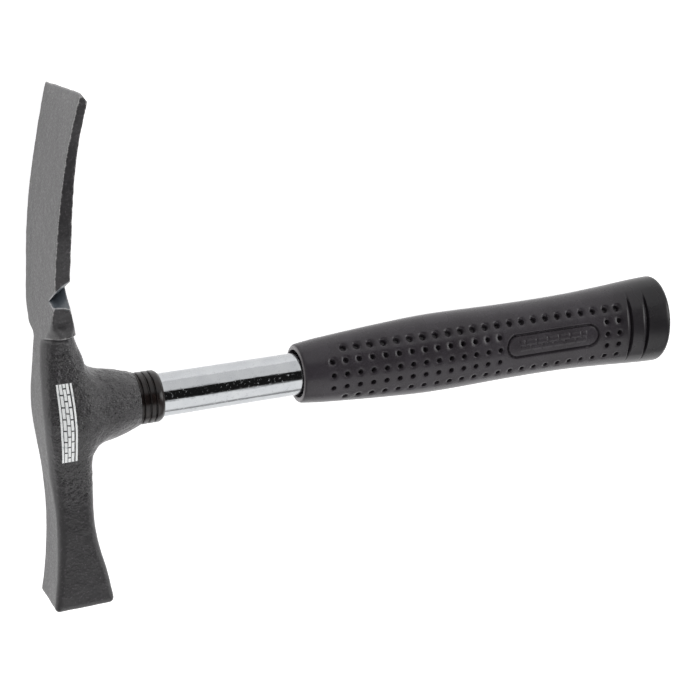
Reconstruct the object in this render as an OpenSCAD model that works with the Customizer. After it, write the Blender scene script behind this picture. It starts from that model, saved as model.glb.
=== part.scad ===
// Brick hammer: forged head, tubular steel shaft, collar bush and moulded grip.
// It lies on its side. +X runs along the shaft from head to grip, +Y points to the cutting edge
// and +Z is up, across the blade. The origin is the centre of the underside of the whole hammer.

/* [Head] */
// Distance from the shaft axis to the cutting edge
blade_reach = 133.5; // [126:0.5:142]
// Distance from the shaft axis to the striking face
poll_reach = 84.5; // [80:0.5:92]
// Width of the blade, across the shaft direction
blade_w = 53; // [46:1:56]
// Width of the cutting edge
edge_w = 57; // [57:1:60]
// Thickness of the blade just above the nail notch
blade_t = 6.2; // [5:0.1:7]
// Thickness of the blade where the cutting bevel starts
tip_t = 3.8; // [3.4:0.1:5]
// Forward curve radius of the blade
blade_r = 315; // [280:5:400]
// Striking face, along the shaft
face_x = 26; // [23:0.5:27]
// Striking face, across the shaft
face_z = 28; // [26:0.5:30]
// Thickness of the poll at its waist, along the shaft
waist_x = 16; // [14:0.5:18]
// Width across the cheeks of the eye
cheek_w = 32; // [30:0.5:34]
// Largest diameter of the shaft socket, where it meets the eye
socket_d = 33; // [32:0.5:34]
// Diameter of the shaft socket at its open end
socket_end_d = 23.6; // [23.4:0.1:24.6]

/* [Nail notch] */
// Mouth of the notch on the face towards the grip
notch_in = 11.8; // [10:0.2:14]
// Mouth of the notch on the outer face
notch_out = 5.6; // [4.4:0.2:7]
// Depth of the notch, in from the blade's edge
notch_depth = 8.9; // [7:0.1:9.5]

/* [Shaft] */
// Outside diameter of the steel tube
tube_d = 19; // [18.6:0.1:19.2]
// Wall of the steel tube
tube_wall = 1.5; // [1.2:0.1:2]
// Outside diameter of the collar bush, over its ribs
collar_d = 22.6; // [22.4:0.1:23]
// Length of the collar that shows outside the socket
collar_l = 10.5; // [9:0.5:12]

/* [Grip] */
// Distance from the head's middle plane to the front rim of the grip
grip_x = 105.5; // [100:0.5:115]
// Length of the grip
grip_l = 189.5; // [180:0.5:200]
// Height of the grip at its front rim
rim_h = 27.4; // [26:0.1:29]
// Height of the grip at the palm swell
swell_h = 36.4; // [34:0.1:38]
// Height of the grip at its waist
grip_waist_h = 35.5; // [33:0.1:37]
// Height of the grip at the butt
butt_h = 41; // [38:0.1:43]
// Thickness of the grip for each millimetre of its height
oval = 0.78; // [0.76:0.01:0.9]

/* [Hidden] */
$fn = 96;

eye_out = -10.3;           // outer face of the eye
socket_x = 31.5;           // open end of the socket
tube_start = -4;           // bottom of the blind bore
sleeve_start = 9;          // bottom of the counterbore that holds the collar's sleeve
sleeve_d = 21.4;           // outside diameter of that sleeve
plug_l = 38;               // length of the core plug
grip_end = grip_x + grip_l;
tube_end = grip_end - 9;
flange_t = 2.5;            // thickness of the end plug's flange
bevel_len = 3.6;           // height of the ground bevel
side_step = 3.5;           // spacing of the stations along the head
mark_t = 0.15;             // thickness of the printed mark

function smooth(t) = let (u = min(1, max(0, t))) u * u * (3 - 2 * u);
function blend(a, b, t) = a + (b - a) * smooth(t);

// Smooth curve through stations [place, value], in rising order of place.
function slope(p, i) = let (a = max(0, i - 1), b = min(len(p) - 1, i + 1))
    (p[b][1] - p[a][1]) / (p[b][0] - p[a][0]);
function hermite(p, i, y) = let (
        w = p[i + 1][0] - p[i][0], t = (y - p[i][0]) / w,
        m0 = slope(p, i) * w, m1 = slope(p, i + 1) * w)
    (2 * t * t * t - 3 * t * t + 1) * p[i][1] + (t * t * t - 2 * t * t + t) * m0
    + (3 * t * t - 2 * t * t * t) * p[i + 1][1] + (t * t * t - t * t) * m1;
function along(p, y) = let (n = len(p), v = min(p[n - 1][0], max(p[0][0], y)),
        i = min(n - 2, max([for (k = [0 : n - 2]) p[k][0] <= v ? k : 0])))
    hermite(p, i, v);

// Outer face of the head, away from the grip: x at height y.
root_y = 58;               // where the blade's arc starts
root_x = -4.2;
root_slope = 0.087;
function blade_out(y) = root_x + root_slope * (y - root_y) + pow(y - root_y, 2) / (2 * blade_r);
outer = [[-poll_reach, -face_x / 2], [-66, -10], [-44, -8.3], [-22, -9.2], [0, eye_out],
    [22, -8.9], [44, -6], [root_y, root_x]];
function x_out(y) = y > root_y ? blade_out(y) : along(outer, y);

// Inner face of the head, towards the grip.
blade_top = blade_reach - bevel_len;
function blade_in(y) = blade_out(y)
    + blend(blade_t, tip_t, (y - root_y) / (blade_top - root_y));
waist_in = waist_x - 8.3;
inner = [[-poll_reach, face_x / 2], [-70, face_x / 2 - 2], [-58, waist_in + 1],
    [-46, waist_in], [-34, waist_in + 0.7], [-22, waist_in + 1.4], [20, 9.2], [30, 7],
    [40, 3.6], [48, 1.8], [root_y, blade_in(root_y)]];
function x_in(y) = y > root_y ? blade_in(y) : along(inner, y);

// Half the width of the head.
face_half = face_z / 2;
cheek_half = cheek_w / 2;
shoulder_y = 30;           // where the blade starts to widen out of the eye
half = [[-poll_reach, face_half], [-66, face_half - 0.6], [-46, 12.8], [-26, 11.9],
    [-12, cheek_half - 1.6], [0, cheek_half], [12, cheek_half - 1.8], [22, 12.4],
    [shoulder_y, 12.2], [shoulder_y + 3.5, 13.8], [shoulder_y + 6, 21.6],
    [shoulder_y + 8.2, blade_w / 2 - 3.1],
    [44, blade_w / 2 - 2.8], [62, blade_w / 2 - 1.2], [78, blade_w / 2],
    [112, blade_w / 2], [blade_reach, edge_w / 2]];
function half_w(y) = along(half, y);

// How much is taken off the head's four long corners.
corner = [[-poll_reach, 0.8], [-50, 1.6], [-26, 3], [30, 3], [38, 1.2], [48, 0.3],
    [blade_reach, 0.3]];
function cut(y) = along(corner, y);

stations = [for (y = [-poll_reach : side_step : blade_top]) y];
rising = concat(stations, [blade_top]);
falling = [for (i = [len(rising) - 1 : -1 : 0]) rising[i]];
tip_x = blade_out(blade_reach);

// Places the hammer with its underside's centre at the origin.
module placed() {
    translate([-(grip_end - face_x / 2) / 2, -(blade_reach - poll_reach) / 2, edge_w / 2])
        children();
}

// Turns a solid of revolution's axis onto the shaft axis, with its own z as the shaft's x.
module on_shaft() {
    rotate([0, 90, 0])
        children();
}

// Turns a profile of [radius, x] points into a solid about the shaft axis.
module turned(profile) {
    on_shaft() rotate_extrude() polygon(profile);
}

// The head seen from the side: both faces, the ground bevel and the socket's two fillets.
module side_profile() {
    polygon(concat(
        [for (y = rising) [x_out(y), y]],
        [[tip_x, blade_reach]],
        [for (y = falling) [x_in(y), y]]));
    fillet(11, 9, 15.4, 1);
    fillet(8.5, 8.4, -14.6, -1);
}

// Web of radius r in the corner at [x, y] between the head's inner face and the socket.
module fillet(r, x, y, side) {
    difference() {
        translate([x - 3, side > 0 ? y - 3 : y - r])
            square([r + 3, r + 3]);
        translate([x + r, y + side * r])
            circle(r);
    }
}

// The head seen along the shaft: blade, cheeks and poll.
module front_profile() {
    polygon(concat(
        [for (y = concat(rising, [blade_reach])) [half_w(y), y]],
        [for (y = concat([blade_reach], falling)) [-half_w(y), y]]));
}

// The head seen along a diagonal, which takes off two of its long corners.
module corner_profile() {
    reach = sqrt(0.5);
    polygon(concat(
        [for (y = rising) [reach * (x_in(y) + half_w(y) - cut(y)), y]],
        [[reach * (tip_x + edge_w / 2), blade_reach]],
        [[reach * (tip_x - edge_w / 2), blade_reach]],
        [for (y = falling) [reach * (x_out(y) - half_w(y) + cut(y)), y]]));
}

module head_bar() {
    deep = 160;
    intersection() {
        linear_extrude(deep, center = true) side_profile();
        rotate([0, 90, 0]) linear_extrude(deep, center = true) front_profile();
        rotate([0, -45, 0]) linear_extrude(deep, center = true) corner_profile();
        rotate([0, 45, 0]) linear_extrude(deep, center = true) corner_profile();
    }
}

// Tapered socket that runs from inside the eye to its open end.
module socket() {
    r = socket_d / 2;
    end_r = socket_end_d / 2;
    turned([[0, 0], [r, 0], [r, 9], [r - 1.6, 20], [end_r + 0.8, 29], [end_r, socket_x],
        [0, socket_x]]);
}

// V cut in the blade's upper edge. Its floor climbs from the outer face to the one towards the
// grip, and its mouth widens with it.
module notch() {
    floor_y = 51.7;        // floor of the notch at the outer face
    climb = 4.2;
    edge = half_w(floor_y + 3);
    x0 = x_out(floor_y + 3);
    x1 = x_in(floor_y + 3);
    // Section of the cutter t of the way from the outer face to the inner one, twice as deep as
    // the notch so that it reaches past the blade's edge.
    function section(t) = let (mouth = notch_out + (notch_in - notch_out) * t,
            depth = notch_depth - 1.1 * (1 - t), y = floor_y + climb * t,
            above = 0.63 - 0.31 * t, x = x0 + (x1 - x0) * t)
        [[x, y, edge - depth], [x, y - 2 * mouth * (1 - above), edge + depth],
            [x, y + 2 * mouth * above, edge + depth]];
    polyhedron(
        points = concat(section(-0.5), section(1.5)),
        faces = [[2, 1, 0], [4, 5, 3], [1, 4, 3, 0], [2, 5, 4, 1], [0, 3, 5, 2]]);
}

module head() {
    color("#37363a") placed() difference() {
        union() {
            head_bar();
            socket();
        }
        turned([[0, tube_start], [tube_d / 2, tube_start], [tube_d / 2, sleeve_start],
            [sleeve_d / 2, sleeve_start], [sleeve_d / 2, socket_x + 1], [0, socket_x + 1]]);
        notch();
    }
}

module shaft_tube() {
    r = tube_d / 2;
    color("#c9ccd1") placed()
        turned([[r - tube_wall, tube_start], [r, tube_start], [r, tube_end],
            [r - tube_wall, tube_end]]);
}

// Solid plug pressed into the tube, so that the socket can't crush it.
module core_plug() {
    r = tube_d / 2 - tube_wall;
    color("#b08a5a") placed()
        turned([[0, tube_start], [r - 0.6, tube_start], [r, tube_start + 0.6],
            [r, tube_start + plug_l], [0, tube_start + plug_l]]);
}

// Bush with a sleeve inside the socket and four ribs outside it, parted by three grooves.
module collar() {
    bore = tube_d / 2;
    rib = collar_d / 2;
    groove = rib - 0.7;
    end = socket_x + collar_l;
    color("#231f20") placed() turned([
        [bore, sleeve_start], [sleeve_d / 2, sleeve_start], [sleeve_d / 2, socket_x],
        [rib, socket_x], [rib, socket_x + 1],
        [groove, socket_x + 1.1], [groove, socket_x + 1.5], [rib, socket_x + 1.6],
        [rib, socket_x + 3.5], [groove, socket_x + 3.7], [groove, socket_x + 4.3],
        [rib, socket_x + 4.5], [rib, socket_x + 6.4], [groove, socket_x + 6.5],
        [groove, socket_x + 6.9], [rib, socket_x + 7], [rib, end - 1.4], [rib - 1, end],
        [bore, end]]);
}

// Half the height of the grip at distance d behind its rim.
grip_line = [[0, rim_h / 2], [12, 14.7], [40, 16.9], [66, swell_h / 2], [103, grip_waist_h / 2 + 0.1],
    [120, grip_waist_h / 2 + 0.1], [140, grip_waist_h / 2 + 0.5], [158, grip_waist_h / 2 + 1.5],
    [178, butt_h / 2], [grip_l, butt_h / 2]];
rim_edge = 1.4;            // radius of the rounded front rim
butt_edge = 5;             // radius of the rounded butt
rim_oval = 0.87;           // the rim is rounder than the rest
groove_at = [167.5, 176];  // the two finger-stop grooves, behind the rim
groove_half = 1.1;         // half the width of a groove
groove_depth = 0.9;
groove_reach = 48;         // degrees that a groove runs to each side of the flat's middle
grip_sides = 40;

function edge_loss(r, gap) = gap >= r ? 0 : r - sqrt(max(0, r * r - pow(r - gap, 2)));
function grip_r(d) = along(grip_line, d) - edge_loss(rim_edge, d) - edge_loss(butt_edge, grip_l - d);
function grip_oval(d) = blend(rim_oval, oval, d / 30);
function from_flat(a) = min(abs(a - 90), abs(a - 270));
function groove(d, a) = from_flat(a) > groove_reach ? 0
    : max([for (g = groove_at) abs(d - g) < groove_half ? groove_depth : 0]);
function grip_ring(d) = [for (i = [0 : grip_sides - 1]) let (a = i * 360 / grip_sides,
        r = grip_r(d) - groove(d, a)) [d, r * cos(a), r * grip_oval(d) * sin(a)]];
grip_stops = concat([0, 0.4, rim_edge], [for (d = [10 : 10 : 160]) d],
    [for (g = groove_at, side = [-1.01, -0.5, 0.5, 1.01]) g + side * groove_half],
    [for (a = [0 : 18 : 90]) grip_l - butt_edge * (1 - sin(a))]);

// Outside of the grip: oval rings joined one to the next and closed at both ends.
module grip_skin() {
    n = grip_sides;
    last = len(grip_stops) - 1;
    polyhedron(
        points = [for (d = grip_stops) each grip_ring(d)],
        faces = concat(
            [[for (i = [0 : n - 1]) i]],
            [for (k = [0 : last - 1], i = [0 : n - 1]) let (i2 = (i + 1) % n)
                each [[k * n + i, (k + 1) * n + i, (k + 1) * n + i2],
                    [k * n + i, (k + 1) * n + i2, k * n + i2]]],
            [[for (i = [n - 1 : -1 : 0]) last * n + i]]));
}

// Flat-bottomed stadium sunk into each flat side of the grip.
module label_pocket() {
    pocket_l = 48;
    pocket_w = 11;
    straight = pocket_l - pocket_w;
    translate([-straight / 2, -pocket_w / 2])
        square([straight, pocket_w]);
    for (side = [-1, 1])
        translate([side * straight / 2, 0])
            circle(d = pocket_w);
}

module grip() {
    bore = tube_d / 2;
    label_x = 230.5;
    label_floor = 12.9;
    color("#3c3a3c") placed() difference() {
        translate([grip_x, 0, 0])
            grip_skin();
        turned([[0, grip_x - 1], [bore + 1.3, grip_x - 1], [bore + 1.3, grip_x + 2.5],
            [bore, grip_x + 4], [bore, tube_end + flange_t], [0, tube_end + flange_t]]);
        for (side = [0, 180])
            rotate([side, 0, 0]) translate([label_x, 0, label_floor])
                linear_extrude(4) label_pocket();
    }
}

// Cap that stops the tube's end from cutting through the butt.
module end_plug() {
    spigot = tube_d / 2 - tube_wall;
    color("#4a4a4c") placed()
        turned([[0, tube_end - 16], [spigot - 1, tube_end - 16], [spigot, tube_end - 15],
            [spigot, tube_end], [tube_d / 2, tube_end], [tube_d / 2, tube_end + flange_t],
            [0, tube_end + flange_t]]);
}

// Printed panel on the upper cheek: two rules with courses of bricks between them.
module mark_pattern() {
    mark_l = 34;
    mark_w = 6.4;
    rule = 0.8;
    courses = 3;
    brick_l = 5;
    joint = 0.6;
    clear = mark_w - 2 * rule - 2 * joint;
    course = clear / courses;
    translate([-mark_w / 2, -mark_l / 2]) square([rule, mark_l]);
    translate([mark_w / 2 - rule, -mark_l / 2]) square([rule, mark_l]);
    for (row = [0 : courses - 1])
        intersection() {
            translate([-clear / 2 + row * course, -mark_l / 2])
                square([course - joint / 2, mark_l]);
            for (k = [0 : 6])
                translate([-clear / 2, -mark_l / 2 + (k - (row % 2) / 2) * brick_l])
                    square([clear, brick_l - joint]);
        }
}

module side_mark() {
    mark_x = -1.4;
    mark_y = -1.5;
    deep = 60;
    color("#e8e8e6") placed() intersection() {
        translate([mark_x, mark_y, 0]) linear_extrude(deep) mark_pattern();
        rotate([0, -90, 0]) linear_extrude(deep, center = true)
            polygon(concat([for (y = rising) [half_w(y), y]],
                [for (y = falling) [half_w(y) + mark_t, y]]));
    }
}

head();
shaft_tube();
core_plug();
collar();
grip();
end_plug();
side_mark();
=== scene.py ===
import bmesh
import bpy
import numpy as np
from mathutils import Matrix, Vector


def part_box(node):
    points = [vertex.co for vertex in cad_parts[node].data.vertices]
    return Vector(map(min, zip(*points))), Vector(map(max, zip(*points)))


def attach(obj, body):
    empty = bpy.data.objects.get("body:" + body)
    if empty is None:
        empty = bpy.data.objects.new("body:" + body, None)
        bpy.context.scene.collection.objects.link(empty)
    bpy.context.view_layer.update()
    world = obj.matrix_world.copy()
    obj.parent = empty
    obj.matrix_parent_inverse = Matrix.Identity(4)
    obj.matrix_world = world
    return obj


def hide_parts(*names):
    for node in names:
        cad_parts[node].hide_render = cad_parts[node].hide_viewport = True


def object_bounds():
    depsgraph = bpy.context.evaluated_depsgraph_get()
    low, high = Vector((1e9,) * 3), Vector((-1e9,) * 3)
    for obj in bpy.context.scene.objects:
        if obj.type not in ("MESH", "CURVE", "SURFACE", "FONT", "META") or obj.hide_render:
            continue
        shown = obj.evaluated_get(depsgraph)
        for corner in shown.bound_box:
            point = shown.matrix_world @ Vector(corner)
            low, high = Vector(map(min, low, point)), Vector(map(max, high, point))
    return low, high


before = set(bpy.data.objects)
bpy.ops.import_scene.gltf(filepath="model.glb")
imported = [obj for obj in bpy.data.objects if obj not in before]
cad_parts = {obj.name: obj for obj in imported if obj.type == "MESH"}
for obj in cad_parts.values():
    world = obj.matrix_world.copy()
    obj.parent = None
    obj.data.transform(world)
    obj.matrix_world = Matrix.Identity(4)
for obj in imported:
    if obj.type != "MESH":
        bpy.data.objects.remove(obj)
cad_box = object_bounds()

# ---------------------------------------------------------------- head
# One steel forging: chisel blade with a ground bevel, nail notch, eye, poll and a tapered socket
# for the shaft. The dies leave it rounded and a little uneven, the faces are ground, and it is
# stoved with satin black paint.

MM = 0.001
tube_low, tube_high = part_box("shaft_tube")
head_low, head_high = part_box("head")
face_half = 13.0  # half the striking face along the shaft, which is the head's lowest x
middle = Vector((
    head_low.x + face_half * MM,
    (tube_low.y + tube_high.y) / 2,
    (tube_low.z + tube_high.z) / 2,
))
reach = (head_high.y - middle.y) / MM  # cutting edge above the shaft axis
poll = (middle.y - head_low.y) / MM  # striking face below the shaft axis
edge_half = (head_high.z - head_low.z) / 2 / MM
socket_end = (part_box("head")[1].x - middle.x) / MM


def to_frame(points):
    """Points in millimetres about the shaft axis and the head's middle plane, in the row frame."""
    return np.asarray(points) * MM + np.array(middle)


def through(stations, at):
    """Smooth curve through [place, value] stations: between two of them it is the cubic whose
    slope at each station is that of the line through the station's two neighbours."""
    p = np.array(stations, float)
    ends = np.arange(len(p))
    before, after = np.maximum(ends - 1, 0), np.minimum(ends + 1, len(p) - 1)
    slope = (p[after, 1] - p[before, 1]) / (p[after, 0] - p[before, 0])
    v = np.clip(at, p[0, 0], p[-1, 0])
    i = np.clip(np.searchsorted(p[:, 0], v, side="right") - 1, 0, len(p) - 2)
    w = p[i + 1, 0] - p[i, 0]
    t = (v - p[i, 0]) / w
    t2, t3 = t * t, t * t * t
    return (
        (2 * t3 - 3 * t2 + 1) * p[i, 1]
        + (t3 - 2 * t2 + t) * slope[i] * w
        + (3 * t2 - 2 * t3) * p[i + 1, 1]
        + (t3 - t2) * slope[i + 1] * w
    )


def ease(t):
    """0 below 0, 1 above 1, and 3t^2 - 2t^3 between."""
    t = np.clip(t, 0, 1)
    return t * t * (3 - 2 * t)


def unevenness(x, y, z, size, seed):
    """Smooth random field of about +-1: seeded values on a lattice of that size in millimetres,
    eased from one lattice point to the next along each axis."""
    table = np.random.default_rng(seed).uniform(-1, 1, (32, 32, 32))
    cell = [np.asarray(a) / size for a in (x, y, z)]
    low = [np.floor(a).astype(int) for a in cell]
    part = [ease(a - b) for a, b in zip(cell, low)]
    total = 0
    for dx in (0, 1):
        for dy in (0, 1):
            for dz in (0, 1):
                corner = table[(low[0] + dx) % 32, (low[1] + dy) % 32, (low[2] + dz) % 32]
                weight = 1
                for side, share in zip((dx, dy, dz), part):
                    weight = weight * (share if side else 1 - share)
                total = total + corner * weight
    return total


root_y, root_x, root_slope, blade_r = 58, -4.2, 0.087, 315
bevel_len, blade_t, tip_t = 3.6, 6.2, 3.8
blade_top = reach - bevel_len


def blade_outer(y):
    """Outer face of the blade: an arc, as a parabola of the same radius, from its root."""
    return root_x + root_slope * (y - root_y) + (y - root_y) ** 2 / (2 * blade_r)


def blade_inner(y):
    """Inner face of the blade: the outer one plus a thickness that eases from root to bevel."""
    share = ease((y - root_y) / (blade_top - root_y))
    return blade_outer(y) + blade_t + (tip_t - blade_t) * share


# Stations along the head in millimetres from the shaft axis: its outer and inner faces, half its
# width, the chamfer of its outer corners and the rounding of its edges. SOCKET is the socket's
# outside radius against the distance from the head's middle.
OUTER = [[-poll, -face_half], [-66, -10], [-44, -8.3], [-22, -9.2], [0, -10.3], [22, -8.9], [44, -6],
         [root_y, root_x]]
INNER = [[-poll, face_half], [-70, 11], [-58, 8.7], [-46, 7.7], [-34, 8.4], [-22, 9.1], [20, 9.2],
         [30, 7], [40, 3.6], [48, 1.8], [root_y, root_x + blade_t]]
HALF = [[-poll, 14], [-66, 13.4], [-46, 12.8], [-26, 11.9], [-12, 14.4], [0, 16], [12, 14.2],
        [22, 12.4], [30, 12.2], [33.5, 13.8], [36, 21.6], [38.2, 23.4], [44, 23.7], [62, 25.3],
        [78, 26.5], [112, 26.5], [reach, edge_half]]
CHAMFER = [[-poll, 0.1], [-60, 0.3], [-40, 1.4], [-22, 3], [0, 2.8], [24, 3.6], [31, 4.6],
           [37, 4.3], [41, 1.6], [45, 0.4], [50, 0.2], [reach, 0.2]]
ROUND = [[-poll, 2.3], [-74, 2.8], [-50, 3.6], [-26, 3], [0, 2], [30, 1.6], [40, 0.6],
         [50, 0.15], [reach, 0.15]]
SOCKET = [[-6, 16], [9, 16.2], [20, 14.9], [29, 12.6], [socket_end, 11.8], [60, 11]]
mouth_r, mouth_deep = 10.75, 3


def softer_min(a, b, reach_mm):
    """The lower of two fields, blended over reach_mm where they are close: a fillet."""
    share = np.clip(0.5 + 0.5 * (b - a) / reach_mm, 0, 1)
    return b + (a - b) * share - reach_mm * share * (1 - share)


def notch_field(x, y, z):
    """Negative inside the nail notch: the space between a short upper plane and a longer lower
    one. Its floor climbs and its mouth widens from the outer face to the inner one."""
    at = 54.7
    x0, x1 = float(through(OUTER, at)), float(through(INNER, at))
    t = (x - x0) / (x1 - x0)
    deep = 7.8 + 1.1 * t
    mouth = 5.6 + 6.2 * t
    above = (0.63 - 0.31 * t) * mouth
    below = mouth - above
    dy, dz = y - 51.7 - 4.2 * t, z - (float(through(HALF, at)) - deep)
    upper = (dy * deep - dz * above) / np.hypot(deep, above)
    lower = (-dz * below - dy * deep) / np.hypot(deep, below)
    return np.maximum(upper, lower)


def forged(x, y, z):
    """Share of the die's rough skin left at a place: full on the eye and socket, less on the poll
    and blade, and almost none on the outer face, which is ground."""
    share = 0.12 + 0.88 * ease((44 - np.abs(y + 2)) / 20)
    outer = np.where(y > root_y, blade_outer(y), through(OUTER, y))
    return share * (0.03 + 0.97 * ease((x - outer - 0.5) / 2.6))


def head_field(x, y, z):
    """Distance-like field, negative in steel: a rounded bar whose two faces and half width are
    curves of y, its outer corners chamfered, joined by a fillet to the tapered socket, less the
    bevel, the notch and the socket's mouth, plus the unevenness that the dies leave."""
    outer = np.where(y > root_y, blade_outer(y), through(OUTER, y))
    inner = np.where(y > root_y, blade_inner(y), through(INNER, y))
    half = through(HALF, y)
    radius = through(ROUND, y)
    across = np.maximum(outer - x, x - inner)
    aside = np.abs(z) - half
    endways = -poll - y
    q = [np.maximum(v + radius, 0) for v in (across, aside, endways)]
    inside = np.minimum(np.maximum(np.maximum(across, aside), endways) + radius, 0)
    bar = np.sqrt(q[0] ** 2 + q[1] ** 2 + q[2] ** 2) + inside - radius
    chamfer = (across + aside + through(CHAMFER, y)) * np.sqrt(0.5)
    bar = -softer_min(-bar, -chamfer, 0.3 + 1.5 * ease((46 - y) / 8))
    tip = blade_outer(reach)
    fall = blade_inner(blade_top) - tip
    bevel = ((x - tip) * bevel_len + (y - reach) * fall) / np.hypot(bevel_len, fall)
    bar = np.maximum(bar, bevel)
    out = np.hypot(y, z)
    neck = np.maximum(out - through(SOCKET, x), 1 - x)
    steel = softer_min(bar, neck, 9)
    rough = forged(x, y, z)
    steel = steel - rough * 0.16 * unevenness(x, y, z, 4.7, 1)
    steel = steel - rough * 0.15 * unevenness(x, y, z, 2.4, 2)
    steel = steel - 0.06 * unevenness(x, y, z, 3.1, 3) - 0.1 * unevenness(x, y, z, 11.0, 4)
    steel = np.maximum(steel, x - socket_end)
    steel = np.maximum(steel, -notch_field(x, y, z))
    mouth = np.maximum(out - mouth_r, socket_end - mouth_deep - x)
    return np.maximum(steel, -mouth)


def skin_of(field, low, high, cell):
    """Closed quad skin of a field's zero level. Every lattice edge that the field changes sign on
    gives a point and a slope; each cell puts one vertex where the planes through its points meet
    best; and the four cells round such an edge give a quad."""
    axes = [np.arange(a, b + cell, cell) for a, b in zip(low, high)]
    value = field(*np.meshgrid(*axes, indexing="ij"))
    size = np.array(value.shape)
    cells = size - 1
    owners, spots, slopes, quads = [], [], [], []
    for k in range(3):
        one = np.eye(3, dtype=int)[k]
        head = value[tuple(slice(0, size[a] - one[a]) for a in range(3))]
        tail = value[tuple(slice(one[a], size[a]) for a in range(3))]
        at = np.argwhere((head < 0) != (tail < 0))
        inner = np.all([(at[:, a] > 0) & (at[:, a] < cells[a]) for a in range(3) if a != k], axis=0)
        at = at[inner]
        start = np.stack([axes[a][at[:, a]] for a in range(3)], -1)
        f0, f1 = head[tuple(at.T)], tail[tuple(at.T)]
        t0, t1 = np.zeros(len(at)), np.ones(len(at))
        for _ in range(4):
            t = t0 + (t1 - t0) * f0 / (f0 - f1)
            f = field(*(start + cell * t[:, None] * one).T)
            same = (f < 0) == (f0 < 0)
            t0, f0 = np.where(same, t, t0), np.where(same, f, f0)
            t1, f1 = np.where(same, t1, t), np.where(same, f1, f)
        spot = start + cell * t[:, None] * one
        step = 0.03
        slope = np.stack([
            field(*(spot + step * np.eye(3)[a]).T) - field(*(spot - step * np.eye(3)[a]).T)
            for a in range(3)
        ], -1)
        slope /= np.linalg.norm(slope, axis=1, keepdims=True)
        u, v = [np.eye(3, dtype=int)[a] for a in range(3) if a != k]
        ring = [at - u - v, at - v, at, at - u]
        ring = [np.ravel_multi_index(tuple(r.T), cells) for r in ring]
        turn = (head[tuple(at.T)] < 0) != (k == 1)
        quads.append(np.where(turn[:, None], np.stack(ring, -1), np.stack(ring[::-1], -1)))
        for r in ring:
            owners.append(r)
            spots.append(spot)
            slopes.append(slope)
    owner = np.concatenate(owners)
    spot, slope = np.concatenate(spots), np.concatenate(slopes)
    used, place = np.unique(owner, return_inverse=True)
    count = np.bincount(place)
    mean = np.stack([np.bincount(place, spot[:, a]) / count for a in range(3)], -1)
    away = np.sum(slope * (spot - mean[place]), -1)
    pull = np.empty((len(used), 3, 3))
    push = np.empty((len(used), 3))
    for a in range(3):
        push[:, a] = np.bincount(place, slope[:, a] * away)
        for b in range(3):
            pull[:, a, b] = np.bincount(place, slope[:, a] * slope[:, b])
    pull += np.eye(3) * 0.02
    vertex = mean + np.linalg.solve(pull, push[..., None])[..., 0]
    corner = np.stack([axes[a][i] for a, i in enumerate(np.unravel_index(used, cells))], -1)
    vertex = np.clip(vertex, corner - 0.25 * cell, corner + 1.25 * cell)
    return vertex, np.searchsorted(used, np.concatenate(quads))


def piece_from(name, vertices, faces, material, sharp=35):
    """Mesh object of quads or triangles in the row frame, smooth but for edges over sharp."""
    mesh = bpy.data.meshes.new(name)
    mesh.from_pydata(vertices.tolist(), [], faces.tolist())
    mesh.polygons.foreach_set("use_smooth", np.ones(len(faces), bool))
    mesh.update()
    mesh.set_sharp_from_angle(angle=np.radians(sharp))
    mesh.materials.append(material)
    thing = bpy.data.objects.new(name, mesh)
    bpy.context.scene.collection.objects.link(thing)
    return thing


def shade(code):
    """Linear RGBA of an sRGB hex colour such as #202124."""
    c = np.array([int(code[i:i + 2], 16) / 255 for i in (1, 3, 5)])
    linear = np.where(c <= 0.04045, c / 12.92, ((c + 0.055) / 1.055) ** 2.4)
    return (*linear.tolist(), 1.0)


def node(material, kind, links=(), **settings):
    """Adds a shader node. settings are its attributes, or its inputs where the name is an input's
    with _ for a space; links are (source node or socket, input name or number)."""
    made = material.node_tree.nodes.new("ShaderNode" + kind)
    for key, value in settings.items():
        if hasattr(made, key):
            setattr(made, key, value)
    for key, value in settings.items():
        if not hasattr(made, key):
            made.inputs[int(key[1:]) if key[0] == "_" else key.replace("_", " ")].default_value = value
    for source, target in links:
        socket = source.outputs[0] if isinstance(source, bpy.types.Node) else source
        material.node_tree.links.new(socket, made.inputs[target])
    return made


def material_named(name):
    """Empty node material with its output node."""
    made = bpy.data.materials.new(name)
    made.use_nodes = True
    made.node_tree.nodes.clear()
    return made, node(made, "OutputMaterial")


def surface(material, output, shader):
    """Links a shader to a material's surface."""
    material.node_tree.links.new(shader.outputs[0], output.inputs["Surface"])


def ramp(material, source, stops):
    """Colour ramp from a value, with (place, hex colour) stops."""
    made = node(material, "ValToRGB", [(source, 0)])
    bar = made.color_ramp.elements
    while len(bar) < len(stops):
        bar.new(0.5)
    for element, (place, code) in zip(bar, stops):
        element.position = place
        element.color = shade(code)
    return made


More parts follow.
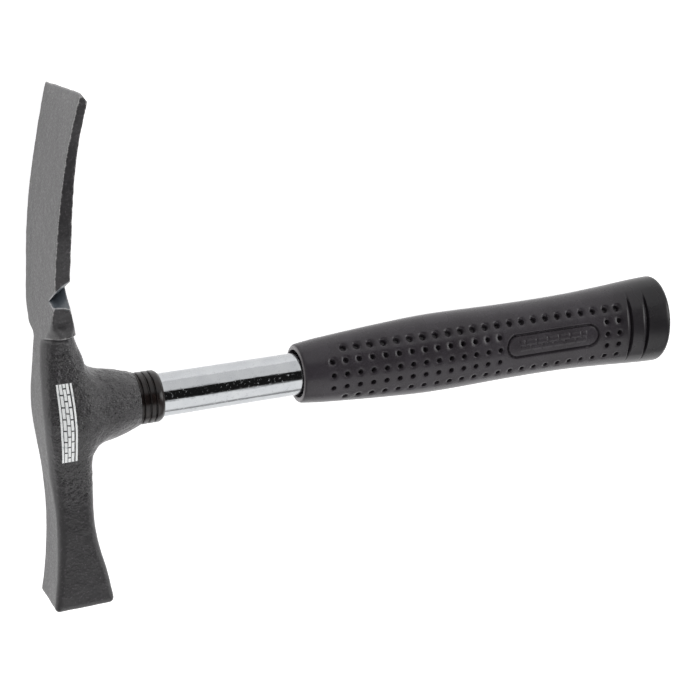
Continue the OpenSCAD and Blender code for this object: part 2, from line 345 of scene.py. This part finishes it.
def satin_stoving_paint():
    """Satin black stoving enamel over blasted steel: near black, with a soft sheen that turns grey
    at a glancing angle, fine grit that shows through, hammered pitting where the forging wasn't
    ground, paint rubbed through to steel along the blade's outer corners with a painted highlight
    on those corners, and a painted lighter blue-grey on the nail notch's faces as painted light."""
    made, output = material_named("satin_stoving_paint")
    where = node(made, "TexCoord").outputs["Object"]
    grit = node(made, "TexNoise", [(where, "Vector")], Scale=1 / (1.0 * MM), Detail=3, Roughness=0.65)
    pits = node(made, "TexNoise", [(where, "Vector")], Scale=1 / (1.9 * MM), Detail=3, Roughness=0.6)
    cloud = node(made, "TexNoise", [(where, "Vector")], Scale=1 / (16 * MM), Detail=3)
    skin = node(made, "Attribute", attribute_name="rough_skin").outputs["Fac"]
    worn_and_lit_edge = node(made, "Attribute", attribute_name="edge_wear_and_highlight").outputs["Fac"]
    tone = ramp(made, cloud, [(0.3, "#131013"), (0.7, "#1c191d")])
    dust = node(made, "MapRange", [(grit, 0)], _1=0.56, _2=0.74, _3=0.0, _4=0.34)
    dusted = node(made, "Mix", [(dust, 0), (tone, 6)], data_type="RGBA", _7=shade("#786f78"))
    # Painted light: the nail notch's faces are painted a lighter blue-grey, standing in for the light
    # that falls on them.
    notch_painted_light = node(made, "Attribute", attribute_name="notch_painted_light").outputs["Fac"]
    thin = node(made, "Mix", [(notch_painted_light, 0), (dusted.outputs[2], 6)], data_type="RGBA",
                _7=shade("#4b5259"))
    # Ridges: partly paint rubbed through to steel, partly a painted highlight along them.
    rub = node(made, "Math", [(worn_and_lit_edge, 0), (grit, 1)], operation="MULTIPLY")
    worn_and_lit = node(made, "MapRange", [(rub, 0)], _1=0.2, _2=0.55, _3=0.0, _4=0.8)
    colour = node(made, "Mix", [(worn_and_lit, 0), (thin.outputs[2], 6)], data_type="RGBA",
                  _7=shade("#b9b8b8"))
    smooth = node(made, "MapRange", [(grit, 0)], _1=0.3, _2=0.7, _3=0.3, _4=0.52)
    glossier = node(made, "MapRange", [(skin, 0)], _3=1.0, _4=0.72)
    rough = node(made, "Math", [(smooth, 0), (glossier, 1)], operation="MULTIPLY")
    deep = node(made, "Math", [(pits, 0), (skin, 1)], operation="MULTIPLY")
    lift = node(made, "Bump", [(deep, "Height")], Strength=1.0, Distance=1.0 * MM)
    bump = node(made, "Bump", [(grit, "Height"), (lift, "Normal")], Strength=0.5, Distance=0.22 * MM)
    shader = node(
        made, "BsdfPrincipled",
        [(colour.outputs[2], "Base Color"), (rough, "Roughness"), (bump, "Normal")],
        IOR=1.66,
    )
    surface(made, output, shader)
    return made


paint = satin_stoving_paint()
margin = np.array([3.0, 3.0, 3.0])
low = np.array([-face_half, -poll, -edge_half]) - margin
high = np.array([socket_end, reach, edge_half]) + margin
points, quads = skin_of(head_field, low, high, 0.66)
head = piece_from("forged_head", to_frame(points), quads, paint)
px, py, pz = points.T
step = 0.7
ridge = -6 * head_field(px, py, pz)
for shift in step * np.concatenate([np.eye(3), -np.eye(3)]):
    ridge = ridge + head_field(*(points + shift).T)
ridge = ridge / step**2
# Ridge mask, strongest on the blade: paint rubbed through to steel there, and a painted highlight
# along the same ridges.
worn_and_lit_edge = ease((ridge - 0.5) / 1.6) * (0.07 + 0.93 * ease((py - 30) / 8))
cut_face = notch_field(px, py, pz)
# Mask of the nail notch's faces on the upper cheek, which get the painted light.
notch_painted_light = ease(1 - np.abs(cut_face) / 0.6) * (np.abs(pz - 20) < 7) * (np.abs(py - 53) < 8)
for name, value in (("rough_skin", forged(px, py, pz)), ("edge_wear_and_highlight", worn_and_lit_edge), ("notch_painted_light", notch_painted_light)):
    head.data.attributes.new(name, "FLOAT", "POINT").data.foreach_set(
        "value", value.astype(np.float32))
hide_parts("head")
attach(head, "root")

# ---------------------------------------------------------------- side mark
# White ink pad-printed on the upper cheek: a plain course-of-bricks pattern between two rules. The
# film follows the bulge of the cheek and is a little worn.


def cheek(x, y):
    """Height of the head's upper side at x, y, by halving the span that holds its surface."""
    low, high = np.full(x.shape, 6.0), np.full(x.shape, 22.0)
    for _ in range(24):
        half_way = (low + high) / 2
        steel = head_field(x, y, half_way) < 0
        low, high = np.where(steel, half_way, low), np.where(steel, high, half_way)
    return low


def film(x0, x1, y0, y1, proud=0.12, sunk=0.25, step=0.5):
    """Closed thin pad over a rectangle of the cheek: the same grid twice, once proud of the cheek
    and once sunk in it, joined round the rim."""
    nx, ny = [max(2, int(round(d / step)) + 1) for d in (x1 - x0, y1 - y0)]
    x, y = np.meshgrid(np.linspace(x0, x1, nx), np.linspace(y0, y1, ny), indexing="ij")
    z = cheek(x.ravel(), y.ravel())
    top = np.stack([x.ravel(), y.ravel(), z + proud], -1)
    index = np.arange(nx * ny).reshape(nx, ny)
    quad = np.stack([index[:-1, :-1], index[1:, :-1], index[1:, 1:], index[:-1, 1:]], -1)
    quad = quad.reshape(-1, 4)
    rim = np.concatenate([index[:-1, 0], index[-1, :-1], index[:0:-1, -1], index[0, :0:-1]])
    after = np.roll(rim, -1)
    under = nx * ny
    wall = np.stack([after, rim, rim + under, after + under], -1)
    return np.concatenate([top, top - [0, 0, proud + sunk]]), np.concatenate(
        [quad, quad[:, ::-1] + under, wall])


def pad_print_ink():
    """White pad-print ink: a flat film with little gloss, thinner and greyer where it has rubbed."""
    made, output = material_named("pad_print_ink")
    where = node(made, "TexCoord").outputs["Object"]
    rub = node(made, "TexNoise", [(where, "Vector")], Scale=1 / (1.6 * MM), Detail=4, Roughness=0.6)
    tone = ramp(made, rub, [(0.3, "#c4cacd"), (0.42, "#fbfdfd")])
    skin = node(made, "Bump", [(rub, "Height")], Strength=0.3, Distance=0.1 * MM)
    shader = node(made, "BsdfPrincipled", [(tone, "Base Color"), (skin, "Normal")],
                  Roughness=0.5, IOR=1.48)
    surface(made, output, shader)
    return made


def joined(parts):
    """One vertex list and one face list from several, with each part's faces renumbered."""
    starts = np.cumsum([0] + [len(points) for points, _ in parts[:-1]])
    faces = [quads + start for (_, quads), start in zip(parts, starts)]
    return np.concatenate([points for points, _ in parts]), np.concatenate(faces)


mark_mid, mark_half, mark_end = -1.4, 3.2, 17.0
mark_y = -1.5
rule, gap, brick, courses = 0.8, 0.6, 5.0, 3
course = (2 * mark_half - 2 * rule - 2 * gap + gap) / courses
pads = []
for edge in (mark_mid - mark_half, mark_mid + mark_half - rule):
    pads.append(film(edge, edge + rule, mark_y - mark_end, mark_y + mark_end))
for row in range(courses):
    left = mark_mid - mark_half + rule + gap / 2 + row * course
    shift = brick / 2 if row % 2 else 0
    for k in range(8):
        start = mark_y - mark_end + k * brick - shift
        first, last = max(start, mark_y - mark_end), min(start + brick - gap, mark_y + mark_end)
        if last - first > 0.8:
            pads.append(film(left, left + course - gap / 2, first, last))
points, quads = joined(pads)
print_mark = piece_from("printed_mark", to_frame(points), quads, pad_print_ink())
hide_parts("side_mark")
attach(print_mark, "root")

# ---------------------------------------------------------------- shaft tube
# Drawn steel tube, bright chrome plated, pressed into the socket at one end and into the grip at
# the other. Its two ends are turned square with a broken corner.

sides = 128
tube_r, tube_wall = (tube_high.y - tube_low.y) / 2 / MM, 1.5
tube_start, tube_end = (tube_low.x - middle.x) / MM, (tube_high.x - middle.x) / MM


def turned(profile, sides):
    """Surface of revolution about the shaft axis. profile is [x, radius] points; a point with no
    radius is a pole. Vertex (i, j) is (x_i, r_i sin a_j, r_i cos a_j)."""
    p = np.array(profile, float)
    angle = np.arange(sides) * 2 * np.pi / sides
    ring = [np.broadcast_to(p[:, :1], (len(p), sides)), p[:, 1:] * np.sin(angle),
            p[:, 1:] * np.cos(angle)]
    points = np.stack(ring, -1).reshape(-1, 3)
    i, j = np.meshgrid(np.arange(len(p) - 1), np.arange(sides), indexing="ij")
    k = (j + 1) % sides
    quads = np.stack([i * sides + j, i * sides + k, (i + 1) * sides + k, (i + 1) * sides + j], -1)
    return points, quads.reshape(-1, 4)


def outward(thing):
    """Merges a piece's poles and points all its faces outwards."""
    work = bmesh.new()
    work.from_mesh(thing.data)
    bmesh.ops.remove_doubles(work, verts=work.verts, dist=1e-7)
    bmesh.ops.dissolve_degenerate(work, edges=work.edges, dist=1e-8)
    bmesh.ops.recalc_face_normals(work, faces=work.faces)
    work.to_mesh(thing.data)
    work.free()
    thing.data.update()
    return thing


def bright_chrome():
    """Bright chrome plate over drawn tube: a mirror with a cool cast, faint lengthwise draw lines
    that streak what it reflects, and a few dull specks in the plating."""
    made, output = material_named("bright_chrome")
    where = node(made, "TexCoord").outputs["Object"]
    along = node(made, "Mapping", [(where, "Vector")], Scale=(0.045, 1.0, 1.0))
    lines = node(made, "TexNoise", [(along, "Vector")], Scale=1 / (0.9 * MM), Detail=3, Roughness=0.6)
    wave = node(made, "TexNoise", [(where, "Vector")], Scale=1 / (6 * MM), Detail=2)
    speck = node(made, "TexNoise", [(where, "Vector")], Scale=1 / (1.3 * MM), Detail=3)
    dull = node(made, "MapRange", [(speck, 0)], _1=0.55, _2=0.69, _3=0.06, _4=0.38)
    draw = node(made, "Bump", [(lines, "Height")], Strength=0.5, Distance=0.07 * MM)
    sway = node(made, "Bump", [(wave, "Height"), (draw, "Normal")], Strength=0.35, Distance=0.25 * MM)
    tone = ramp(made, wave, [(0.3, "#adafb2"), (0.7, "#b4b6b8")])
    shader = node(
        made, "BsdfPrincipled",
        [(tone, "Base Color"), (dull, "Roughness"), (sway, "Normal")], Metallic=1.0)
    surface(made, output, shader)
    return made


inner_r = tube_r - tube_wall
points, quads = turned([
    [tube_start, inner_r + 0.2], [tube_start, tube_r - 0.3], [tube_start + 0.3, tube_r],
    [42, tube_r], [105, tube_r], [tube_end - 0.3, tube_r], [tube_end, tube_r - 0.3],
    [tube_end, inner_r + 0.2], [tube_end - 0.2, inner_r], [tube_start + 0.2, inner_r],
    [tube_start, inner_r + 0.2]], sides)
tube = outward(piece_from("chromed_tube", to_frame(points), quads, bright_chrome()))
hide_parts("shaft_tube")
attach(tube, "root")

# ---------------------------------------------------------------- collar
# Bush moulded in dark brown-black acetal. Its thin sleeve centres the tube in the socket's mouth,
# and four ribs parted by three grooves show outside.

collar_low, collar_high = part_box("collar")
rib = (collar_high.y - collar_low.y) / 2 / MM
collar_start, collar_end = (collar_low.x - middle.x) / MM, (collar_high.x - middle.x) / MM


def ribs(first, radius, grooves, depth, round_off):
    """Profile of a ribbed sleeve of that radius, from first on: each groove [start, end] drops by
    depth and each rib's corners are broken by round_off."""
    path = [[first, radius - 0.4], [first + 0.3, radius]]
    for start, end in grooves:
        path += [[start - round_off, radius], [start, radius - round_off],
                 [start + 0.05, radius - depth], [end - 0.05, radius - depth],
                 [end, radius - round_off], [end + round_off, radius]]
    return path


def moulded_acetal():
    """Acetal moulded almost black with a brown cast: smooth, waxy and fairly glossy, with fine
    turning-like lines round it from the tool."""
    made, output = material_named("moulded_acetal")
    where = node(made, "TexCoord").outputs["Object"]
    round_it = node(made, "Mapping", [(where, "Vector")], Scale=(1.0, 0.12, 0.12))
    lines = node(made, "TexNoise", [(round_it, "Vector")], Scale=1 / (0.5 * MM), Detail=2)
    mottle = node(made, "TexNoise", [(where, "Vector")], Scale=1 / (3 * MM), Detail=3)
    tone = ramp(made, mottle, [(0.35, "#120e0e"), (0.65, "#1f1715")])
    bump = node(made, "Bump", [(lines, "Height")], Strength=0.3, Distance=0.08 * MM)
    rough = node(made, "MapRange", [(mottle, 0)], _3=0.16, _4=0.28)
    shader = node(
        made, "BsdfPrincipled",
        [(tone, "Base Color"), (rough, "Roughness"), (bump, "Normal")],
        IOR=1.48, Specular_IOR_Level=0.38)
    surface(made, output, shader)
    return made


sleeve_r = 10.7
bore_r = tube_r + 0.02
points, quads = turned([
    [collar_start, bore_r], [collar_start, sleeve_r], [socket_end - 0.1, sleeve_r]]
    + ribs(socket_end, rib, [
        [socket_end + 1.1, socket_end + 1.5], [socket_end + 3.7, socket_end + 4.3],
        [socket_end + 6.5, socket_end + 6.9]], 0.7, 0.3)
    + [[collar_end - 1.5, rib - 0.05], [collar_end - 0.5, rib - 0.65], [collar_end, rib - 1.1],
       [collar_end, bore_r], [collar_start, bore_r]], 96)
collar = outward(piece_from("ribbed_collar", to_frame(points), quads, moulded_acetal()))
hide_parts("collar")
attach(collar, "root")

# ---------------------------------------------------------------- grip
# Soft rubber moulded over the tube's end. Oval, with a palm swell, a flared butt, five rows of
# blind dimples on each flat side, a sunk label panel, and two crescent finger stops.

grip_low, grip_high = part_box("grip")
grip_x = (grip_low.x - middle.x) / MM
grip_l = (grip_high.x - grip_low.x) / MM
butt_r = (grip_high.y - grip_low.y) / 2 / MM
GRIP_LINE = [[0, 13.2], [5, 13.9], [12, 14.7], [40, 16.9], [66, 18.2], [103, 17.85], [120, 17.85],
             [140, 18.25], [158, 19.25], [178, butt_r + 0.1], [grip_l, butt_r + 0.6]]
rim_edge, butt_edge = 1.4, 2.7
column_pitch, column_first, columns = 6.384, 119.24 - 105.5, 24
rows = np.radians([-41.9, -20.3, 0, 20.3, 41.9])
last_line = np.radians(54)  # beyond the outer rows, where the grid's lines close up again
row_height = 11.4  # of the outer rows from the middle of the flat side, all the way along
cuts = 14  # grid lines to one dimple pitch


def corner_loss(radius, gap):
    """How far a corner of that radius pulls the outline in at a distance gap from its end."""
    g = np.clip(radius - gap, 0, radius)
    return radius - np.sqrt(radius**2 - g**2)


def grip_outline(d):
    """Half height of the grip at d behind its rim, and its width as a share of its height."""
    r = through(GRIP_LINE, d) - corner_loss(rim_edge, d) - corner_loss(butt_edge, grip_l - d)
    return r, 0.87 + (0.78 - 0.87) * ease(d / 30)


def grip_grid():
    """Outer skin on a grid: lines round the grip by dimple column, lines along it by dimple row.
    Near a dimple the square rings of the grid are turned into circles."""
    column_end = column_first + columns * column_pitch
    front = column_first - column_pitch / 2
    label_start, label_stop = front + 13.5 * column_pitch, front + 22.5 * column_pitch
    d = np.concatenate([
        rim_edge * (1 - np.cos(np.linspace(0, np.pi / 2, 6))),
        np.linspace(rim_edge, front, 12)[1:-1],
        np.linspace(front, label_start, 13 * cuts + cuts // 2, endpoint=False),
        np.linspace(label_start, label_stop, 9 * 2 * cuts, endpoint=False),
        np.linspace(label_stop, column_end - column_pitch / 2, cuts * 3 // 2, endpoint=False),
        np.linspace(column_end - column_pitch / 2, 178.5, 60, endpoint=False),
        np.linspace(178.5, grip_l - butt_edge, 8, endpoint=False),
        grip_l - butt_edge * (1 - np.sin(np.linspace(0, np.pi / 2, 12))),
    ])
    fine = np.concatenate([
        np.linspace(a, b, cuts, endpoint=False) for a, b in zip(rows[:-1], rows[1:])])
    gap = rows[1] - rows[0]
    fine = np.concatenate([rows[0] - gap / cuts * np.arange(7, 0, -1), fine,
                           rows[-1] + gap / cuts * np.arange(0, 8)])
    over = np.linspace(fine[-1], np.pi + fine[0], 12)[1:-1]
    angle = np.concatenate([fine, over, fine + np.pi, over + np.pi])
    return d, angle


d_line, a_line = grip_grid()
d, a = [m.copy() for m in np.meshgrid(d_line, a_line, indexing="ij")]
front_a = (a + np.pi / 2) % np.pi - np.pi / 2  # angle from the middle of the nearer flat side
column = np.round((d - column_first) / column_pitch)
row = np.abs(front_a[..., None] - rows).argmin(-1)
has = (column >= 0) & (column < columns)
label_columns = (column >= 14) & (column <= 21)
outer_row = (row == 0) | (row == 4)
has &= np.where(outer_row, column >= 1, ~label_columns)
pitch_a = np.where(np.abs(front_a) > rows[3], rows[4] - rows[3], rows[3])
index_d = (d - column_first - column * column_pitch) / column_pitch * cuts
index_a = (front_a - rows[row]) / pitch_a * cuts

# The rows run straight along the grip, so their angles close up as it swells.
spread = np.arcsin(row_height / np.maximum(through(GRIP_LINE, d), 14.5)) / rows[4]
tail = (np.abs(front_a) - last_line) / (np.pi / 2 - last_line)
turned_a = np.where(tail < 0, spread * front_a, np.sign(front_a) * (
    spread * last_line + tail * (np.pi / 2 - spread * last_line)))
a = a - front_a + turned_a
front_a = turned_a
ring = np.maximum(np.abs(index_d), np.abs(index_a))
away = np.maximum(np.hypot(index_d, index_a), 1e-9)
r_here, oval_here = grip_outline(d)
lean = rows[row] * spread
speed = r_here * np.hypot(np.cos(lean), oval_here * np.sin(lean))
circle = np.interp(ring, [0, 1, 2, 3, 4, 5, 7], [0, 0.5, 0.82, 1.06, 1.28, 1.7, 2.9])
share = np.where(has, 1 - ease((ring - 4.5) / 2.5), 0)
off_d = index_d * column_pitch / cuts
off_a = (front_a - lean) * speed
new_d = off_d + share * (circle * index_d / away - off_d)
new_a = off_a + share * (circle * index_a / away - off_a)
d = d + (new_d - off_d)
a = a + (new_a - off_a) / speed
front_a = (a + np.pi / 2) % np.pi - np.pi / 2
reach_mm = np.hypot(new_d, new_a)

big = 1 + 0.22 * ease(front_a / rows[4])
hole = 2.1 * (1 - ease((reach_mm / big - 0.84) / 0.36))
lip_deep, lip_wide = np.where(row == 4, 0.62, 0.26), np.where(row == 4, 1.8, 1.1)
lip = lip_deep * (1 - ease((reach_mm - 1.0) / lip_wide))
sink = np.where(has, hole + lip, 0)

label_mid, label_half_l, label_half_w = 230.5 - grip_x, 24.4, 5.35
label_off = r_here * np.sin(front_a) - 0.45
along = np.maximum(np.abs(d - label_mid) - (label_half_l - label_half_w), 0)
from_rim = np.hypot(along, label_off) - label_half_w
sink = sink + 0.35 * ease((0.2 - from_rim) / 0.4)
sink = sink + 1.2 * (1 - ease((np.abs(from_rim) - 0.2) / 0.45))

# Low relief on the panel: two plain courses of bricks, as wide as the panel's straight part.
course = np.floor((label_off + 2.7) / 2.7)
in_course = np.abs(label_off + 2.7 - (course + 0.5) * 2.7)
in_brick = np.abs((d - label_mid + 18 + 3 * (course % 2)) % 6 - 3)
brick_face = ease((1.25 - in_course) / 0.35) * ease((2.75 - in_brick) / 0.35)
brick_face = brick_face * (np.abs(label_off) < 2.7) * ease((18 - np.abs(d - label_mid)) / 0.5)
sink = sink - 0.3 * brick_face

for at, wide in ((273.2 - grip_x, 2.8), (281.9 - grip_x, 2.9)):
    share = np.clip(1 - ((np.degrees(front_a) - 2) / 47) ** 2, 0, 1) ** 0.5
    width = wide * share + 1e-3
    rising = ease((d - (at - width)) / width) * (d <= at)
    falling = ease((at + 0.35 - d) / 0.35) * (d > at)
    line = 1 - ease((np.abs(d - at + 0.1) - 0.2) / 0.3)
    sink = sink + share * (0.9 * (rising + falling) + 1.2 * line)

r_here, oval_here = grip_outline(d)
normal = np.stack([oval_here * np.sin(a), np.cos(a)], -1)
normal /= np.linalg.norm(normal, axis=-1, keepdims=True)
skin = np.stack([
    d + grip_x,
    r_here * np.sin(a) - sink * normal[..., 0],
    r_here * oval_here * np.cos(a) - sink * normal[..., 1]], -1)


def oval_ring(x, r, oval, line=a[0]):
    """Ring at x with half height r and half width r times oval: the points at the angles of line,
    which are those of the skin's first or last ring."""
    return np.stack([0 * line + x, r * np.sin(line), r * oval * np.cos(line)], -1)


grip_end = grip_x + grip_l
front_rings = [
    oval_ring(tube_end + 2.5, 0, 1), oval_ring(tube_end + 2.5, 6, 1),
    oval_ring(tube_end + 2.5, bore_r, 1), oval_ring(200, bore_r, 1),
    oval_ring(grip_x + 3.2, bore_r, 1), oval_ring(grip_x + 3.1, 10.1, 0.99),
    oval_ring(grip_x + 2.8, 10.6, 0.98), oval_ring(grip_x + 0.5, 10.7, 0.98),
    oval_ring(grip_x + 0.1, 10.9, 0.97), oval_ring(grip_x + 0.0, 11.2, 0.96)]
butt_rings = [
    oval_ring(grip_end - 0.02, butt_r - butt_edge - 1.2, 0.78, a[-1]),
    oval_ring(grip_end - 0.5, butt_r - butt_edge - 2.4, 0.78, a[-1]),
    oval_ring(grip_end - 0.6, butt_r - butt_edge - 4, 0.78, a[-1]),
    oval_ring(grip_end - 0.4, 5, 0.78, a[-1]), oval_ring(grip_end - 0.4, 0, 0.78, a[-1])]
rings = np.concatenate([np.array(front_rings), skin, np.array(butt_rings)])
n, m = rings.shape[:2]
i, j = np.meshgrid(np.arange(n - 1), np.arange(m), indexing="ij")
k = (j + 1) % m
quads = np.stack([i * m + j, i * m + k, (i + 1) * m + k, (i + 1) * m + j], -1).reshape(-1, 4)


def moulded_rubber():
    """Black thermoplastic rubber from a spark-eroded mould: charcoal with a faint warm cast, a soft
    broad sheen, a fine matt grain, cloudy wear where hands polish it, a deeper charcoal on the
    butt that is painted shade, and a pale band round the front rim that is a painted highlight."""
    made, output = material_named("moulded_rubber")
    where = node(made, "TexCoord").outputs["Object"]
    grain = node(made, "TexNoise", [(where, "Vector")], Scale=1 / (0.55 * MM), Detail=2)
    cloud = node(made, "TexNoise", [(where, "Vector")], Scale=1 / (17 * MM), Detail=3)
    tone = ramp(made, cloud, [(0.32, "#302c30"), (0.68, "#3b373c")])
    bloom = node(made, "MapRange", [(grain, 0)], _1=0.5, _2=0.72, _3=0.0, _4=0.2)
    dusty = node(made, "Mix", [(bloom, 0), (tone, 6)], data_type="RGBA", _7=shade("#5c585e"))
    place = node(made, "SeparateXYZ", [(where, 0)])
    # Painted shade: the flared butt is given a deeper charcoal, standing in for the shade that falls
    # on it.
    butt = node(made, "MapRange", [(place.outputs["X"], 0)], _1=0.115, _2=0.145)
    butt_painted_shade = node(made, "Mix", [(butt, 0), (dusty.outputs[2], 6)], data_type="RGBA",
                  _7=shade("#1b191c"))
    # Painted highlight: a pale band round the front rim stands in for the light caught on the rim's
    # face.
    rim = node(made, "MapRange", [(place.outputs["X"], 0)], _1=grip_low.x + 0.12 * MM,
               _2=grip_low.x + 0.5 * MM, _3=0.75, _4=0.0)
    colour = node(made, "Mix", [(rim, 0), (butt_painted_shade.outputs[2], 6)], data_type="RGBA",
                  _7=shade("#9a9698"))
    rough = node(made, "MapRange", [(cloud, 0)], _3=0.2, _4=0.34)
    bump = node(made, "Bump", [(grain, "Height")], Strength=0.35, Distance=0.07 * MM)
    shader = node(
        made, "BsdfPrincipled",
        [(colour.outputs[2], "Base Color"), (rough, "Roughness"), (bump, "Normal")],
        IOR=1.45, Specular_IOR_Level=0.36)
    surface(made, output, shader)
    return made


grip = outward(piece_from(
    "rubber_grip", to_frame(rings.reshape(-1, 3)), quads, moulded_rubber(), sharp=50))
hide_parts("grip")
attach(grip, "root")

# ---------------------------------------------------------------- hidden plugs
# A turned ash plug inside the tube under the socket, and a moulded plastic cap over the tube's
# far end inside the butt. Neither shows; they keep their CAD shape.


def turned_ash():
    """Ash with its grain along the tube: pale, open-pored and unfinished."""
    made, output = material_named("turned_ash")
    where = node(made, "TexCoord").outputs["Object"]
    along = node(made, "Mapping", [(where, "Vector")], Scale=(0.08, 1.0, 1.0))
    grain = node(made, "TexNoise", [(along, "Vector")], Scale=1 / (1.5 * MM), Detail=4, Distortion=0.6)
    tone = ramp(made, grain, [(0.35, "#b08a5a"), (0.65, "#d2b487")])
    bump = node(made, "Bump", [(grain, "Height")], Strength=0.4, Distance=0.1 * MM)
    shader = node(made, "BsdfPrincipled", [(tone, "Base Color"), (bump, "Normal")],
                  Roughness=0.7, IOR=1.5)
    surface(made, output, shader)
    return made


def moulded_polythene():
    """Grey polythene cap: waxy, slightly mottled, with a faint moulding grain."""
    made, output = material_named("moulded_polythene")
    where = node(made, "TexCoord").outputs["Object"]
    mottle = node(made, "TexNoise", [(where, "Vector")], Scale=1 / (4 * MM), Detail=3)
    tone = ramp(made, mottle, [(0.35, "#454548"), (0.65, "#525256")])
    bump = node(made, "Bump", [(mottle, "Height")], Strength=0.2, Distance=0.1 * MM)
    shader = node(made, "BsdfPrincipled", [(tone, "Base Color"), (bump, "Normal")],
                  Roughness=0.45, IOR=1.51)
    surface(made, output, shader)
    return made


for name, made in (("core_plug", turned_ash()), ("end_plug", moulded_polythene())):
    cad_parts[name].data.materials[0] = made

# ---------------------------------------------------------------- studio
# A white floor, a pale room that is dark overhead with three soft panels, and the camera.

floor_mesh = bpy.data.meshes.new("floor")
side = 6.0
floor_mesh.from_pydata(
    [(-side, -side, 0), (side, -side, 0), (side, side, 0), (-side, side, 0)], [], [(0, 1, 2, 3)]
)
floor = bpy.data.objects.new("floor", floor_mesh)
bpy.context.scene.collection.objects.link(floor)
floor.location.z = cad_box[0][2] - 0.0005
card, output = material_named("white_card")
shader = node(card, "BsdfPrincipled", Base_Color=shade("#f4f4f4"), Roughness=0.9)
shader.inputs["Emission Color"].default_value = shade("#ffffff")
shader.inputs["Emission Strength"].default_value = 0.7
surface(card, output, shader)
floor_mesh.materials.append(card)


def studio_room():
    """World light: a pale room with a dim patch and a dark ceiling round the camera, a bright panel
    over the grip's end, and wide soft ones beyond the cutting edge and beyond the poll. Each is a
    disc of sky: where it points, its inner and outer radius in degrees, and its strength."""
    room = bpy.data.worlds.new("room")
    room.use_nodes = True
    tree = room.node_tree
    tree.nodes.clear()
    look = tree.nodes.new("ShaderNodeTexCoord").outputs["Generated"]
    level = None
    for toward, inner, outer, strength in (
        ((0.60, -0.15, 0.78), 18, 24, 0.4),
        ((0.10, 0.15, 0.98), 25, 30, 0.02),
        ((0.80, 0.12, 0.60), 12, 18, 5.2),
        ((0.384, 0.815, 0.433), 27, 31, 1.35),
        ((0.10, -0.75, 0.65), 26, 32, 1.85),
    ):
        dot = tree.nodes.new("ShaderNodeVectorMath")
        dot.operation = "DOT_PRODUCT"
        dot.inputs[1].default_value = Vector(toward).normalized()
        tree.links.new(look, dot.inputs[0])
        disc = tree.nodes.new("ShaderNodeMapRange")
        disc.inputs[1].default_value = np.cos(np.radians(outer))
        disc.inputs[2].default_value = np.cos(np.radians(inner))
        tree.links.new(dot.outputs["Value"], disc.inputs[0])
        blend = tree.nodes.new("ShaderNodeMix")
        tree.links.new(disc.outputs[0], blend.inputs[0])
        if level is None:
            blend.inputs[2].default_value = 0.7
        else:
            tree.links.new(level, blend.inputs[2])
        blend.inputs[3].default_value = strength
        level = blend.outputs[0]
    glow = tree.nodes.new("ShaderNodeBackground")
    tree.links.new(level, glow.inputs["Strength"])
    out = tree.nodes.new("ShaderNodeOutputWorld")
    tree.links.new(glow.outputs[0], out.inputs["Surface"])
    return room


bpy.context.scene.world = studio_room()

camera = bpy.data.objects.new("camera", bpy.data.cameras.new("camera"))
bpy.context.scene.collection.objects.link(camera)
camera.data.sensor_width = 36
camera.data.lens = 80.6
aim = Vector((0.3841, -0.26859, -0.88336))
eye = Vector((-0.13741, 0.19618, 0.61846)) + middle
right = aim.cross(Vector((0, 1, 0))).normalized()
over = right.cross(aim)
roll = np.radians(-2.0)
turned_right = right * np.cos(roll) + over * np.sin(roll)
turned_over = over * np.cos(roll) - right * np.sin(roll)
axes = Matrix((turned_right, turned_over, -aim)).transposed()
camera.matrix_world = Matrix.Translation(eye) @ axes.to_4x4()
bpy.context.scene.camera = camera
bpy.context.scene.view_settings.view_transform = "Standard"

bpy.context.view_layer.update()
